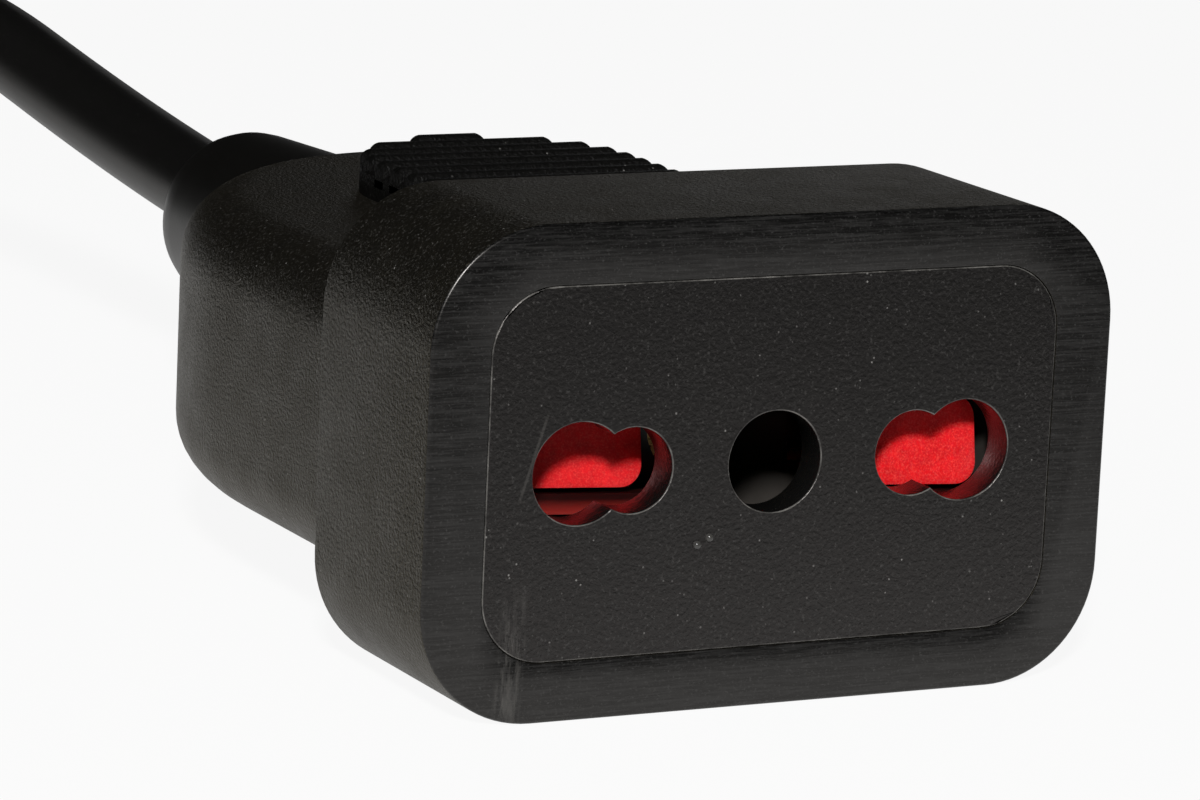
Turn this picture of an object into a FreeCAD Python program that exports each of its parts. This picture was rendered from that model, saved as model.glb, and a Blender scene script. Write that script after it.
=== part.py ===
"""Power adapter cable: an in-line three-hole socket, its cord and an inlet plug.

The socket lies along Y with its face toward -Y and rests on the front block's flat bottom.
Socket pieces are drawn with the face at y = 0 and the hole axis at z = 0, plug pieces with
the mouth at y = 0 and the plug axis at z = 0, and each is then set in its place.
"""
import FreeCAD
import Part
import Sketcher
import math
import os

V = FreeCAD.Vector

SIZES = [
    ("face_width", 46.0, "front block, width"),
    ("face_height", 30.0, "front block, height"),
    ("face_corner", 7.4, "front block, corner radius"),
    ("block_depth", 15.5, "front block, depth"),
    ("block_edge", 0.4, "front block, edge rounding"),
    ("body_width", 44.2, "round-ended body, width"),
    ("body_height", 19.0, "round-ended body, height"),
    ("body_depth", 60.8, "round-ended body, distance of its tip from the face"),
    ("body_round", 28.0, "round-ended body, length of the rounded end"),
    ("body_edge", 4.4, "round-ended body, edge rounding"),
    ("pad_width", 18.4, "thumb pad, width"),
    ("pad_end", 48.2, "thumb pad, distance of its round end from the face"),
    ("pad_floor", 1.6, "thumb pad, height of the floor between the ribs"),
    ("rib_height", 0.7, "thumb pad, height of a rib"),
    ("rib_pitch", 2.3, "thumb pad, spacing of the ribs"),
    ("rib_width", 1.3, "thumb pad, thickness of a rib"),
    ("rib_setback", 1.0, "thumb pad, last rib from the round end"),
    ("neck_radius", 6.5, "neck, radius of the domed end"),
    ("neck_root", 7.4, "neck, radius at its root"),
    ("neck_start", 52.0, "neck, distance of its root from the face"),
    ("dome_centre", 79.0, "neck, distance of the dome's centre from the face"),
    ("neck_lift", 0.6, "neck, height above the hole axis"),
    ("socket_length", 85.2, "socket, face to the neck's end at the cord"),
    ("panel_width", 38.2, "face panel, width"),
    ("panel_height", 22.6, "face panel, height"),
    ("panel_corner", 4.1, "face panel, corner radius"),
    ("panel_thick", 2.45, "face panel, thickness"),
    ("small_pitch", 9.5, "small hole, distance from the centre"),
    ("large_pitch", 13.0, "large hole, distance from the centre"),
    ("small_hole", 2.6, "small hole, radius"),
    ("large_hole", 3.1, "large hole, radius"),
    ("earth_hole", 3.1, "earth hole, radius"),
    ("carrier_depth", 14.0, "contact carrier, distance of its shoulder from the face"),
    ("chamber_depth", 10.8, "shutter chamber, distance of its back from the face"),
    ("chamber_wide", 34.8, "shutter chamber, width"),
    ("carrier_floor", 0.6, "contact carrier, floor under the shutter chamber"),
    ("chamber_low", "=panel_height / 2 - carrier_floor", "shutter chamber, floor below the hole axis"),
    ("chamber_high", 3.9, "shutter chamber, roof above the hole axis"),
    ("boss_width", 35.0, "contact boss, width"),
    ("boss_height", 9.4, "contact boss, height"),
    ("boss_end", 22.4, "contact boss, distance of its back from the face"),
    ("contact_end", 20.4, "contact pocket, distance of its back from the face"),
    ("contact_centre", 11.25, "contact, distance from the centre"),
    ("contact_width", 8.8, "contact, width"),
    ("contact_height", 5.6, "contact, height over the leaves"),
    ("contact_sheet", 0.6, "contact, sheet thickness"),
    ("contact_mouth", 0.6, "contact, mouth behind the chamber"),
    ("fit_gap", 0.1, "gap round a contact in its pocket"),
    ("barrel_length", 5.0, "crimp barrel, length"),
    ("barrel_wall", 0.4, "crimp barrel, wall"),
    ("core_entry", 1.0, "insulated core, start inside the crimp barrel"),
    ("sleeve_bore", 2.4, "earth contact, bore radius"),
    ("sleeve_slot", 0.8, "earth contact, slot width"),
    ("core_radius", 1.1, "insulated core, radius"),
    ("core_ring", 1.44, "insulated core, distance from the cord's centre"),
    ("cord_diameter", 6.2, "cord, outside diameter"),
    ("cord_start", 62.5, "cord, end of the sheath from the face"),
    ("cord_lift", 0.05, "cord, clearance over the table"),
    ("cord_lead", 11.5, "cord, straight lead into the plug"),
    ("shutter_front", 4.15, "shutter, pad front from the face on the centre line"),
    ("shutter_inner", 6.4, "shutter pad, inner edge from the centre"),
    ("shutter_outer", 15.8, "shutter pad, outer edge from the centre"),
    ("shutter_low", 2.4, "shutter pad, lower edge below the hole axis"),
    ("shutter_tall", 5.5, "shutter pad, height"),
    ("shutter_thick", 1.3, "shutter pad, thickness"),
    ("shutter_corner", 1.4, "shutter pad, corner radius"),
    ("shutter_lean", 14.0, "shutter pad, lean of its face in degrees"),
    ("shutter_skew", 5.0, "shutter, skew in its chamber in degrees"),
    ("shutter_roll", 1.75, "shutter, roll in its chamber in degrees"),
    ("lip_slot", 0.42, "shutter lip, slot under the pad"),
    ("lip_low", 4.1, "shutter lip, underside below the hole axis"),
    ("lip_thick", 1.2, "shutter lip, thickness"),
    ("bridge_top", 3.8, "shutter bridge, top below the hole axis"),
    ("bridge_tall", 0.65, "shutter bridge, height"),
    ("bridge_front", 0.25, "shutter bridge, front behind the pad front"),
    ("bridge_thick", 0.8, "shutter bridge and leg, thickness"),
    ("leg_inner", 4.4, "shutter leg, inner side from the centre"),
    ("leg_width", 0.8, "shutter leg, width"),
    ("arm_low", 1.5, "shutter arm, underside above the hole axis"),
    ("arm_tall", 0.9, "shutter arm, height"),
    ("arm_back", 2.0, "shutter arm, back behind the pad front"),
    ("ear_front", 1.6, "shutter ear, front behind the pad front"),
    ("ear_low", 1.3, "shutter ear, underside above the hole axis"),
    ("ear_tall", 0.9, "shutter ear, height"),
    ("ear_width", 3.0, "shutter ear, width"),
    ("ear_back", 5.4, "shutter ear, back behind the pad front"),
    ("spring_axis", 4.1, "shutter spring, axis behind the pad front"),
    ("spring_radius", 0.9, "shutter spring, mean radius"),
    ("spring_wire", 0.3, "shutter spring, wire diameter"),
    ("spring_gap", 0.05, "shutter spring, slack under the ear"),
    ("spring_turns", 5.0, "shutter spring, turns"),
    ("plug_width", 28.3, "plug, width"),
    ("plug_height", 20.8, "plug, height"),
    ("plug_corner", 3.0, "plug, corner radius"),
    ("plug_straight", 24.0, "plug, length of the straight front"),
    ("plug_depth", 36.0, "plug, length up to the strain relief"),
    ("shoulder_width", 19.0, "plug, width at the end of the shoulder"),
    ("shoulder_height", 16.4, "plug, height at the end of the shoulder"),
    ("shoulder_corner", 5.0, "plug, corner radius at the end of the shoulder"),
    ("plug_end", 58.0, "plug, length with the strain relief"),
    ("plug_x", -76.8, "plug, place across"),
    ("plug_y", -9.0, "plug, place of its mouth along"),
    ("shroud_width", 24.4, "plug shroud, inside width"),
    ("shroud_height", 17.0, "plug shroud, inside height"),
    ("shroud_depth", 16.6, "plug shroud, depth"),
    ("shroud_chamfer", 4.6, "plug shroud, corner chamfer"),
    ("relief_root", 8.0, "strain relief, radius at its root"),
    ("relief_tip", 5.2, "strain relief, radius at its tip"),
    ("groove_pitch", 4.0, "strain relief, spacing of the grooves"),
    ("groove_width", 1.5, "strain relief, width of a groove"),
    ("groove_core", 4.2, "strain relief, radius in a groove"),
    ("insert_width", 20.0, "plug insert, width"),
    ("insert_height", 13.0, "plug insert, height"),
    ("insert_depth", 9.0, "plug insert, depth"),
    ("pin_pitch", 7.0, "plug pin, distance from the centre"),
    ("pin_rise", 2.0, "plug pin, offset from the plug axis"),
    ("pin_wide", 2.0, "plug pin, thickness"),
    ("pin_tall", 4.0, "plug pin, height"),
    ("pin_setback", 3.0, "plug pin, tip behind the mouth"),
    ("earth_lead", 1.5, "plug earth pin, lead over the other pins"),
    ("pin_tail", 3.0, "plug pin, tail behind the insert"),
    ("plug_cord", 50.0, "cord, end of the sheath from the plug's mouth"),
]

ALIASES = set(alias for alias, value, note in SIZES)

# Decimals kept of a size that a formula gives.
DECIMALS = 9

# Lengths under this count as nothing, in millimetres.
HAIR = 1e-6

doc = FreeCAD.newDocument("adapter")
sheet = doc.addObject("Spreadsheet::Sheet", "Sizes")
for row, (alias, value, note) in enumerate(SIZES, 1):
    sheet.set("A%d" % row, note)
    sheet.set("B%d" % row, str(value))
    sheet.setAlias("B%d" % row, alias)
doc.recompute()


def size(alias):
    """Value of one driving size."""
    return round(float(sheet.get(alias)), DECIMALS)


def bind(item, **links):
    """Tie properties of an object to expressions over the sheet, given as prop=expression."""
    for prop, text in links.items():
        item.setExpression(prop.replace("__", "."), named(text))
    return item


def named(text):
    """Expression text with every driving size written as a reference to the sheet."""
    out = []
    word = ""
    for mark in text + " ":
        if mark.isalnum() or mark == "_":
            word += mark
        else:
            out.append("Sizes." + word if word in ALIASES else word)
            out.append(mark)
            word = ""
    return "".join(out).strip()


def box(name, x, y, z, wide, deep, tall):
    """Block with its near lower left corner and its sizes given as expressions."""
    item = doc.addObject("Part::Box", name)
    return bind(item, Length=wide, Width=deep, Height=tall,
                Placement__Base__x=x, Placement__Base__y=y, Placement__Base__z=z)


def rod(name, x, y, z, radius, length):
    """Round bar running toward +Y from the given point."""
    item = doc.addObject("Part::Cylinder", name)
    item.Placement = FreeCAD.Placement(V(0, 0, 0), FreeCAD.Rotation(V(1, 0, 0), -90))
    return bind(item, Radius=radius, Height=length,
                Placement__Base__x=x, Placement__Base__y=y, Placement__Base__z=z)


def fuse(name, items):
    """One solid out of several."""
    item = doc.addObject("Part::MultiFuse", name)
    item.Shapes = items
    item.Refine = True
    return item


def cut(name, base, tool):
    """One solid less another."""
    item = doc.addObject("Part::Cut", name)
    item.Base = base
    item.Tool = tool
    item.Refine = True
    return item


def shaped(name, solid):
    """Solid that no primitive or sketch gives, drawn from the sheet's sizes."""
    item = doc.addObject("Part::Feature", name)
    item.Shape = solid
    return item


def rectangle(sketch, wide, tall):
    """Rectangle centred on the sketch's origin, its sides tied to two sizes."""
    w = size_of(wide) / 2
    h = size_of(tall) / 2
    corners = [V(-w, -h, 0), V(w, -h, 0), V(w, h, 0), V(-w, h, 0)]
    for i in range(4):
        sketch.addGeometry(Part.LineSegment(corners[i], corners[(i + 1) % 4]), False)
    for i in range(4):
        sketch.addConstraint(Sketcher.Constraint("Coincident", i, 2, (i + 1) % 4, 1))
    sketch.addConstraint(Sketcher.Constraint("Horizontal", 0))
    sketch.addConstraint(Sketcher.Constraint("Horizontal", 2))
    sketch.addConstraint(Sketcher.Constraint("Vertical", 1))
    sketch.addConstraint(Sketcher.Constraint("Vertical", 3))
    sketch.addConstraint(Sketcher.Constraint("Symmetric", 0, 1, 2, 1, -1, 1))
    across = sketch.addConstraint(Sketcher.Constraint("DistanceX", 0, 1, 0, 2, 2 * w))
    upright = sketch.addConstraint(Sketcher.Constraint("DistanceY", 1, 1, 1, 2, 2 * h))
    sketch.setExpression("Constraints[%d]" % across, named(wide))
    sketch.setExpression("Constraints[%d]" % upright, named(tall))


def size_of(text):
    """Value of a driving size, or of a size plus or minus a multiple of another."""
    total = 0.0
    for term in text.replace("- ", "+ -").split("+ "):
        factor = 1.0
        for piece in term.strip().split("*"):
            piece = piece.strip()
            if piece.startswith("-"):
                factor = -factor
                piece = piece[1:].strip()
            factor *= size(piece) if piece in ALIASES else float(piece)
        total += factor
    return total


def plate(name, wide, tall, start, length, corner):
    """Upright block with rounded corners, running toward +Y from start."""
    body = doc.addObject("PartDesign::Body", name)
    sketch = body.newObject("Sketcher::SketchObject", name + "_outline")
    plane = [p for p in body.Origin.OriginFeatures if p.Role == "XZ_Plane"][0]
    sketch.AttachmentSupport = [(plane, "")]
    sketch.MapMode = "FlatFace"
    sketch.setExpression("AttachmentOffset.Base.z", named("0 - (" + start + ")"))
    rectangle(sketch, wide, tall)
    pad = body.newObject("PartDesign::Pad", name + "_pad")
    pad.Profile = sketch
    pad.Reversed = True
    pad.setExpression("Length", named(length))
    doc.recompute()
    upright = []
    for i, edge in enumerate(pad.Shape.Edges, 1):
        run = edge.Vertexes[0].Point - edge.Vertexes[1].Point
        if abs(run.y) > 0.9 * run.Length:
            upright.append("Edge%d" % i)
    rounding = body.newObject("PartDesign::Fillet", name + "_corners")
    rounding.Base = (pad, upright)
    rounding.setExpression("Radius", named(corner))
    body.Tip = rounding
    doc.recompute()
    return body


# Share of a straight run that the arc at either end may take.
ARC_SHARE = 0.45


def rounded_path(points):
    """Straight runs joined by tangent arcs, with the arcs' radii."""
    edges = []
    radii = []
    last = points[0]
    for i in range(1, len(points) - 1):
        back = points[i - 1] - points[i]
        ahead = points[i + 1] - points[i]
        turn = math.pi - back.getAngle(ahead)
        reach = ARC_SHARE * min(back.Length, ahead.Length)
        radius = reach / math.tan(turn / 2)
        radii.append(radius)
        first = points[i] + back.normalize() * reach
        second = points[i] + ahead.normalize() * reach
        inward = (back + ahead).normalize()
        middle = points[i] + inward * (radius / math.cos(turn / 2) - radius)
        edges.append(Part.LineSegment(last, first).toShape())
        edges.append(Part.Arc(first, middle, second).toShape())
        last = second
    edges.append(Part.LineSegment(last, points[-1]).toShape())
    return Part.Wire(edges), radii


def tube(points, radius):
    """Round solid along a path of straight runs and tangent arcs."""
    path, radii = rounded_path([V(*p) for p in points])
    start = V(*points[0])
    aim = V(*points[1]) - start
    ring = Part.Wire(Part.makeCircle(radius, start, aim))
    solid = path.makePipeShell([ring], True, False)
    expected = math.pi * radius * radius * path.Length
    print("tube length %.1f least radius %.1f volume ratio %.4f"
          % (path.Length, min(radii), solid.Volume / expected))
    return solid


def place_socket(item):
    """Set a socket piece in the shared frame."""
    item.setExpression("Placement.Base.y", named("0 - socket_length / 2"))
    item.setExpression("Placement.Base.z", named("face_height / 2"))
    return item


def place_plug(item):
    """Set a plug piece in the shared frame."""
    item.setExpression("Placement.Base.x", named("plug_x"))
    item.setExpression("Placement.Base.y", named("plug_y"))
    item.setExpression("Placement.Base.z", named("plug_height / 2"))
    return item


def soften(body, radius):
    """Round the outlines of a plate's two faces."""
    last = body.Tip
    rims = []
    for i, edge in enumerate(last.Shape.Edges, 1):
        if edge.BoundBox.YLength < HAIR:
            rims.append("Edge%d" % i)
    rounding = body.newObject("PartDesign::Fillet", body.Name + "_rims")
    rounding.Base = (last, rims)
    rounding.setExpression("Radius", named(radius))
    body.Tip = rounding
    doc.recompute()
    return body


def round_ended(half, start, straight, tip, tall, rounding):
    """Flat body with an elliptic end in plan and rounded upper and lower edges."""
    centre = V(0, straight, -tall / 2)
    ellipse = Part.Ellipse(V(0, tip, -tall / 2), V(half, straight, -tall / 2), centre)
    end = Part.ArcOfEllipse(ellipse, -math.pi / 2, math.pi / 2).toShape()
    corners = [V(half, straight, -tall / 2), V(half, start, -tall / 2),
               V(-half, start, -tall / 2), V(-half, straight, -tall / 2)]
    sides = [Part.LineSegment(a, b).toShape() for a, b in zip(corners, corners[1:])]
    outline = Part.Wire(Part.__sortEdges__(sides + [end]))
    solid = Part.Face(outline).extrude(V(0, 0, tall))
    rims = []
    for edge in solid.Edges:
        flat = edge.BoundBox.ZLength < HAIR
        if flat and edge.BoundBox.YLength > HAIR:
            rims.append(edge)
    return solid.makeFillet(rounding, rims)


# Cord and cores, in the socket's own frame.
socket_middle = size("socket_length") / 2
axis_height = size("face_height") / 2
neck_lift = size("neck_lift")
core_radius = size("core_radius")
cord_radius = size("cord_diameter") / 2
cord_start = size("cord_start")
plug_tail = V(size("plug_x"), size("plug_y") + size("plug_cord") + socket_middle,
              size("plug_height") / 2 - axis_height)

# Turning points of the cord, in cord diameters from the neck's end: it rises a little out of the
# neck, comes down as it turns back, lies on the table and goes up into the plug.
CORD_TURNS = [
    (0.0, 0.06, 0.0),
    (-1.97, 7.18, 2.32),
    (-6.33, 9.67, 0.17),
    (-9.72, 8.78, -1.46),
]
TABLE_TURNS = [(-11.75, 7.06), (-12.65, 4.5)]
cord_width = size("cord_diameter")
cord_points = [(0, cord_start, neck_lift)]
for x, y, z in CORD_TURNS:
    cord_points.append((x * cord_width, size("socket_length") + y * cord_width,
                        neck_lift + z * cord_width))
for x, y in TABLE_TURNS:
    cord_points.append((x * cord_width, size("socket_length") + y * cord_width,
                        cord_radius + size("cord_lift") - axis_height))
cord_points.append((plug_tail.x, plug_tail.y + size("cord_lead"), plug_tail.z))
cord_points.append((plug_tail.x, plug_tail.y, plug_tail.z))
for x, y, z in cord_points:
    print("cord point %.3f %.3f %.3f" % (x, y - socket_middle, z + axis_height))
cord_run = shaped("cord_run", tube(cord_points, cord_radius))


def core_place(angle):
    """Place of a core in the cord's section."""
    ring = size("core_ring")
    return ring * math.cos(math.radians(angle)), ring * math.sin(math.radians(angle))


CORE_ANGLES = {"line": 210, "neutral": 330, "earth": 90}
CORE_SIDES = {"line": -1, "neutral": 1, "earth": 0}


# Share of a core's run that stays straight at either end.
CORE_STRAIGHT = 0.3


def core(name, begin, side, rise, end, lift, angle):
    """Insulated core from a contact or pin to the end of the sheath."""
    across, up = core_place(angle)
    straight = CORE_STRAIGHT * (end - begin)
    points = [(side, begin, rise), (side, begin + straight, rise),
              (across, end - straight, lift + up), (across, end, lift + up)]
    return shaped(name, tube(points, core_radius))


wires = {}
for pole, side in CORE_SIDES.items():
    begin = size("contact_end") + size("core_entry")
    wires[pole] = core(pole + "_run", begin, side * size("contact_centre"), 0, cord_start,
                       neck_lift, CORE_ANGLES[pole])

# Socket housing.
block = soften(plate("front_block", "face_width", "face_height", "0", "block_depth",
                     "face_corner"), "block_edge")
straight_end = size("body_depth") - size("body_round")
tongue = shaped("round_body", round_ended(
    size("body_width") / 2, size("block_depth") / 2, straight_end, size("body_depth"),
    size("body_height"), size("body_edge")))


def thumb_shape(name, top):
    """Thumb pad outline with a round end, up to the given height."""
    straight = box(name + "_straight", "0 - pad_width / 2", "block_depth / 2", "0",
                   "pad_width", "pad_end - pad_width / 2 - block_depth / 2", top)
    end = doc.addObject("Part::Cylinder", name + "_end")
    bind(end, Radius="pad_width / 2", Height=top, Placement__Base__y="pad_end - pad_width / 2")
    return fuse(name, [straight, end])


thumb_floor = thumb_shape("thumb_floor", "body_height / 2 + pad_floor")
thumb_crest = thumb_shape("thumb_crest", "body_height / 2 + pad_floor + rib_height")
rib_room = size("pad_end") - size("rib_setback") - size("block_depth") - size("rib_width")
rib_count = int(rib_room / size("rib_pitch"))
ribs = []
for i in range(rib_count):
    place = "pad_end - rib_setback - rib_width / 2 - %d * rib_pitch" % i
    ribs.append(box("rib_%d" % i, "0 - pad_width / 2", place, "body_height / 2", "pad_width",
                    "rib_width", "pad_floor + rib_height"))
rib_set = doc.addObject("Part::MultiFuse", "rib_set")
rib_set.Shapes = ribs
rib_trim = doc.addObject("Part::Common", "rib_trim")
rib_trim.Base = thumb_crest
rib_trim.Tool = rib_set
neck = doc.addObject("Part::Cone", "neck")
neck.Placement = FreeCAD.Placement(V(0, 0, 0), FreeCAD.Rotation(V(1, 0, 0), -90))
bind(neck, Radius1="neck_root", Radius2="neck_radius", Height="dome_centre - neck_start",
     Placement__Base__y="neck_start", Placement__Base__z="neck_lift")
dome = doc.addObject("Part::Sphere", "dome")
bind(dome, Radius="neck_radius", Placement__Base__y="dome_centre", Placement__Base__z="neck_lift")
housing_solid = fuse("housing_solid", [block, tongue, thumb_floor, rib_trim, neck, dome])

BARREL = "core_radius + barrel_wall"
panel_pocket = plate("panel_pocket", "panel_width", "panel_height", "0", "carrier_depth",
                     "panel_corner")
boss_pocket = box("boss_pocket", "0 - boss_width / 2", "0", "0 - boss_height / 2",
                  "boss_width", "boss_end", "boss_height")
housing_tools = [panel_pocket, boss_pocket, cord_run]
for pole, side in CORE_SIDES.items():
    housing_tools.append(wires[pole])
    housing_tools.append(rod(pole + "_barrel_room", "%d * contact_centre" % side, "contact_end",
                             "0", BARREL, "barrel_length"))
housing_room = doc.addObject("Part::MultiFuse", "housing_room")
housing_room.Shapes = housing_tools
housing = place_socket(cut("socket_housing", housing_solid, housing_room))

# Face panel.
holes = [rod("earth_way", "0", "0 - panel_thick", "0", "earth_hole", "3 * panel_thick")]
for side in (-1, 1):
    for name in ("small", "large"):
        holes.append(rod("%s_way_%d" % (name, side + 1), "%d * %s_pitch" % (side, name),
                         "0 - panel_thick", "0", name + "_hole", "3 * panel_thick"))
panel_solid = plate("panel_solid", "panel_width", "panel_height", "0", "panel_thick",
                    "panel_corner")
panel = place_socket(cut("face_panel", panel_solid, fuse("panel_holes", holes)))

# Contact carrier.
carrier_block = plate("carrier_block", "panel_width", "panel_height", "panel_thick",
                      "carrier_depth - panel_thick", "panel_corner")
boss = box("boss", "0 - boss_width / 2", "chamber_depth", "0 - boss_height / 2", "boss_width",
           "boss_end - chamber_depth", "boss_height")
carrier_solid = fuse("carrier_solid", [carrier_block, boss])
chamber = box("chamber", "0 - chamber_wide / 2", "0", "0 - chamber_low", "chamber_wide",
              "chamber_depth", "chamber_low + chamber_high")
carrier_tools = [chamber]
for pole, side in CORE_SIDES.items():
    carrier_tools.append(rod(pole + "_tail_way", "%d * contact_centre" % side, "chamber_depth",
                             "0", BARREL, "boss_end"))
    if side:
        carrier_tools.append(box(
            pole + "_pocket", "%d * contact_centre - contact_width / 2 - fit_gap" % side,
            "chamber_depth / 2", "0 - contact_height / 2 - fit_gap",
            "contact_width + 2 * fit_gap", "contact_end - chamber_depth / 2",
            "contact_height + 2 * fit_gap"))
carrier_tools.append(rod("earth_pocket", "0", "chamber_depth / 2", "0",
                         "sleeve_bore + contact_sheet + fit_gap",
                         "contact_end - chamber_depth / 2"))
carrier = place_socket(cut("contact_carrier", carrier_solid, fuse("carrier_room", carrier_tools)))

# Contacts.
MOUTH = "chamber_depth + contact_mouth"


def barrel(pole, side):
    """Crimp barrel behind a contact."""
    centre = "%d * contact_centre" % side
    skin = rod(pole + "_barrel_skin", centre, "contact_end - contact_sheet / 2", "0", BARREL,
               "barrel_length + contact_sheet / 2")
    bore = rod(pole + "_barrel_bore", centre, "contact_end + core_entry", "0", "core_radius",
               "barrel_length")
    return cut(pole + "_barrel", skin, bore)


for pole, side in (("line", -1), ("neutral", 1)):
    left = "%d * contact_centre - contact_width / 2" % side
    depth = "contact_end - chamber_depth - contact_mouth"
    upper = box(pole + "_upper_leaf", left, MOUTH, "contact_height / 2 - contact_sheet",
                "contact_width", depth, "contact_sheet")
    lower = box(pole + "_lower_leaf", left, MOUTH, "0 - contact_height / 2", "contact_width",
                depth, "contact_sheet")
    web = box(pole + "_web", left, "contact_end - contact_sheet", "0 - contact_height / 2",
              "contact_width", "contact_sheet", "contact_height")
    place_socket(fuse(pole + "_contact", [upper, lower, web, barrel(pole, side)]))

sleeve_skin = rod("sleeve_skin", "0", MOUTH, "0", "sleeve_bore + contact_sheet",
                  "contact_end - chamber_depth - contact_mouth")
sleeve_way = rod("sleeve_way", "0", "0", "0", "sleeve_bore", "contact_end - contact_sheet")
sleeve_slot = box("sleeve_slot_room", "0 - sleeve_slot / 2", "0", "0 - 2 * sleeve_bore",
                  "sleeve_slot", "contact_end - 3 * contact_sheet", "4 * sleeve_bore")
sleeve = cut("sleeve", sleeve_skin, fuse("sleeve_room", [sleeve_way, sleeve_slot]))
place_socket(fuse("earth_contact", [sleeve, barrel("earth", 0)]))

# Shutter, drawn with the pads' lower front edge on y = 0.
def near(side, inner, outer):
    """Left side of a piece that lies between two distances from the centre."""
    return inner if side > 0 else "0 - (" + outer + ")"


lean = math.radians(size("shutter_lean"))
half_tall = size("shutter_tall") / 2
shutter_pieces = []
for side, word in ((-1, "left"), (1, "right")):
    pad = plate("shutter_pad_" + word, "shutter_outer - shutter_inner", "shutter_tall", "0",
                "shutter_thick", "shutter_corner")
    across = side * (size("shutter_inner") + size("shutter_outer")) / 2
    pad.Placement = FreeCAD.Placement(
        V(across, half_tall * math.sin(lean), half_tall * math.cos(lean) - size("shutter_low")),
        FreeCAD.Rotation(V(1, 0, 0), -size("shutter_lean")))
    leg = box("shutter_leg_" + word, near(side, "leg_inner", "leg_inner + leg_width"), "bridge_front",
              "0 - bridge_top - bridge_tall", "leg_width", "bridge_thick",
              "bridge_top + bridge_tall + arm_low + arm_tall")
    arm = box("shutter_arm_" + word, near(side, "leg_inner", "shutter_inner + shutter_thick"),
              "bridge_front", "arm_low", "shutter_inner + shutter_thick - leg_inner",
              "arm_back - bridge_front", "arm_tall")
    lip = box("shutter_lip_" + word, near(side, "leg_inner", "shutter_outer"), "bridge_front",
              "0 - lip_low", "shutter_outer - leg_inner", "lip_thick",
              "lip_low - shutter_low - lip_slot")
    ear = box("shutter_ear_" + word,
              "%d * (shutter_inner + shutter_outer) / 2 - ear_width / 2" % side, "ear_front",
              "ear_low", "ear_width", "ear_back - ear_front", "ear_tall")
    shutter_pieces += [pad, leg, arm, lip, ear]
shutter_pieces.append(box("shutter_bridge", "0 - leg_inner - leg_width", "bridge_front",
                          "0 - bridge_top - bridge_tall", "2 * (leg_inner + leg_width)",
                          "bridge_thick", "bridge_tall"))
shutter = fuse("shutter", shutter_pieces)
skew = FreeCAD.Rotation(V(0, 0, 1), -size("shutter_skew")).multiply(
    FreeCAD.Rotation(V(0, 1, 0), size("shutter_roll")))
seat = FreeCAD.Placement(V(0, size("shutter_front") - socket_middle, axis_height), skew)
shutter.Placement = seat

# Shutter springs, each upright between the chamber's floor and an ear.
half_wire = size("spring_wire") / 2
WIRE = [(-half_wire, 0), (0, -half_wire), (half_wire, 0), (0, half_wire), (-half_wire, 0)]
spring_floor = axis_height - size("chamber_low") + half_wire
for side, word in ((-1, "left"), (1, "right")):
    across = side * (size("shutter_inner") + size("shutter_outer")) / 2
    top = seat.multVec(V(across, size("spring_axis"), size("ear_low")))
    spring_tall = top.z - half_wire - size("spring_gap") - spring_floor
    coil = Part.makeHelix(spring_tall / size("spring_turns"), spring_tall, size("spring_radius"))
    section = Part.makePolygon([V(size("spring_radius") + x, 0, z) for x, z in WIRE])
    spring = shaped("shutter_spring_" + word,
                    Part.Wire(coil.Edges).makePipeShell([section], True, True))
    spring.Placement = FreeCAD.Placement(V(top.x, top.y, spring_floor), FreeCAD.Rotation())

# Plug.
def ring(wide, tall, corner, along):
    """Upright outline with rounded corners at a distance along Y."""
    run = V(0, 1, 0)
    sides = []
    for turn in range(4):
        across, up = (wide, tall) if turn % 2 == 0 else (tall, wide)
        side = Part.LineSegment(V(corner - across / 2, along, up / 2),
                                V(across / 2 - corner, along, up / 2)).toShape()
        centre = V(across / 2 - corner, along, up / 2 - corner)
        bend = Part.makeCircle(corner, centre, run, -90, 0)
        for edge in (side, bend):
            edge.rotate(V(0, along, 0), run, 90 * turn)
            sides.append(edge)
    return Part.Wire(Part.__sortEdges__(sides))


shell = soften(plate("plug_block", "plug_width", "plug_height", "0", "plug_straight",
                     "plug_corner"), "block_edge")
shoulder = shaped("plug_shoulder", Part.makeLoft([
    ring(size("plug_width") - size("block_edge"), size("plug_height") - size("block_edge"),
         size("plug_corner"), size("plug_straight") - size("block_edge")),
    ring(size("shoulder_width"), size("shoulder_height"), size("shoulder_corner"),
         size("plug_depth"))], True, True))
relief = doc.addObject("Part::Cone", "relief")
relief.Placement = FreeCAD.Placement(V(0, 0, 0), FreeCAD.Rotation(V(1, 0, 0), -90))
bind(relief, Radius1="relief_root", Radius2="relief_tip", Height="plug_end - plug_depth",
     Placement__Base__y="plug_depth")
plug_solid = fuse("plug_solid", [shell, shoulder, relief])

half_wide = size("shroud_width") / 2
half_high = size("shroud_height") / 2
nip = size("shroud_chamfer")
outline = [(-half_wide, -half_high), (half_wide, -half_high), (half_wide, half_high - nip),
           (half_wide - nip, half_high), (nip - half_wide, half_high),
           (-half_wide, half_high - nip), (-half_wide, -half_high)]
mouth = Part.Face(Part.makePolygon([V(x, 0, z) for x, z in outline]))
shroud_room = shaped("shroud_room", mouth.extrude(V(0, size("shroud_depth"), 0)))

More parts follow.
